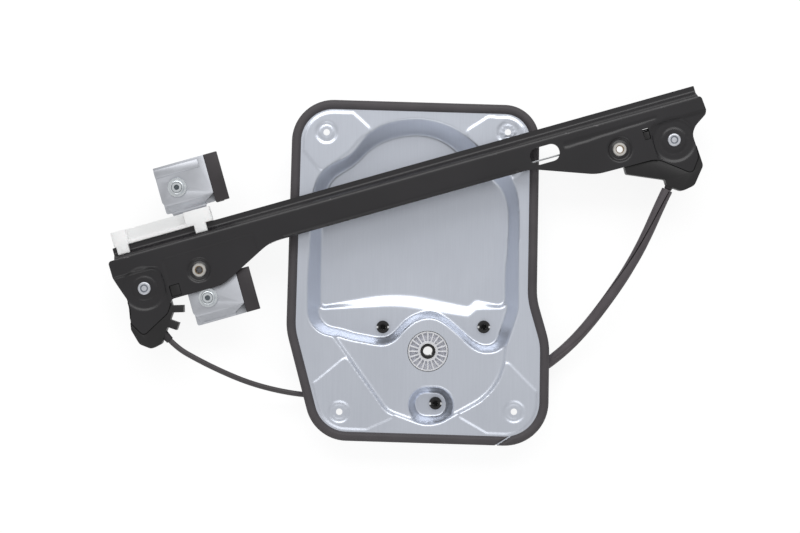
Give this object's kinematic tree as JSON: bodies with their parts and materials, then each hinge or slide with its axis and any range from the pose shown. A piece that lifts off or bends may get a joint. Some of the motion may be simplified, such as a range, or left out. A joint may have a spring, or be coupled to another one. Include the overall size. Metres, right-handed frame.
{
  "type": "car window regulator",
  "caption": "Cable-driven window regulator: a guide rail with a glass carriage in front of a pressed panel with a motor pocket, a cable drum behind it, and sheathed cables between them.",
  "frame": {"origin": "the middle of the part's length and width, at the height of its lowest faces: the back of the panel's pocket floor and of the drum housing", "axes": "+X to the right along the longest extent, +Y up the panel, +Z out of the panel's front, towards the rail; the rail climbs to +X at 15.65 degrees"},
  "size_m": [0.5364, 0.3261, 0.0449],
  "materials": {
    "galvanised_sheet": "hot-dip zinc coat, satin",
    "foam_seal": "matte closed-cell foam",
    "black_plastic": "moulded, satin",
    "bright_steel": "bright zinc plate",
    "grey_plastic": "moulded, satin",
    "cable_steel": "stranded wire, greased",
    "black_coat": "satin black electro-coat",
    "bushing_steel": "turned steel",
    "natural_nylon": "moulded nylon",
    "boot_rubber": "matte",
    "sheath_plastic": "extruded, satin",
    "sleeve_rubber": "matte, slit lengthwise",
    "white_nylon": "moulded nylon, slightly translucent",
    "zinc_plate": "zinc plate, satin",
    "clamp_rubber": "matte"
  },
  "bodies": {
    "base": {"mounting_panel": "galvanised_sheet", "panel_seal": "foam_seal", "drum_housing": "black_plastic", "screw_clips": "bright_steel", "guide_rail": "black_coat", "lower_bushing": "bushing_steel", "upper_bushing": "bushing_steel", "lower_rivet": "bright_steel", "upper_rivet": "bright_steel", "lower_pulley_housing": "black_plastic", "upper_pulley_housing": "black_plastic", "lower_boot": "boot_rubber", "upper_boot": "boot_rubber", "rail_cable": "cable_steel", "lower_sheath": "sheath_plastic", "upper_sheath": "sheath_plastic", "upper_sleeve": "sleeve_rubber"},
    "carriage": {"slider": "white_nylon", "cable_nipples": "bushing_steel", "carrier_plate": "zinc_plate", "upper_clamp_plate": "zinc_plate", "lower_clamp_plate": "zinc_plate", "upper_clamp_pad": "clamp_rubber", "lower_clamp_pad": "clamp_rubber", "clamp_screws": "bright_steel", "clamp_nuts": "bright_steel"},
    "drum": {"cable_drum": "grey_plastic", "drum_cable": "cable_steel"},
    "pulley_low": {"lower_pulley": "natural_nylon"},
    "pulley_high": {"upper_pulley": "natural_nylon"}
  },
  "joints": [
    {"name": "carriage_slide", "type": "slide", "parent": "base", "child": "carriage", "axis": [0.9629, 0.2698, 0], "range_m": [0, 0.345]},
    {"name": "drum_spin", "type": "hinge", "parent": "base", "child": "drum", "pos_m": [0.0187, -0.0773, 0.009], "axis": [0, 0, 1], "range_deg": [-792, 0]},
    {"name": "lower_pulley_spin", "type": "hinge", "parent": "base", "child": "pulley_low", "pos_m": [-0.23659, -0.01954, 0.0378], "axis": [0, 0, 1], "range_deg": [-1320, 0]},
    {"name": "upper_pulley_spin", "type": "hinge", "parent": "base", "child": "pulley_high", "pos_m": [0.23967, 0.11389, 0.0378], "axis": [0, 0, 1], "range_deg": [-1320, 0]}
  ],
  "couplings": [
    {"joint": "drum_spin", "follows": "carriage_slide", "rad_per_m": -40},
    {"joint": "lower_pulley_spin", "follows": "carriage_slide", "rad_per_m": -66.667},
    {"joint": "upper_pulley_spin", "follows": "carriage_slide", "rad_per_m": -66.667}
  ]
}
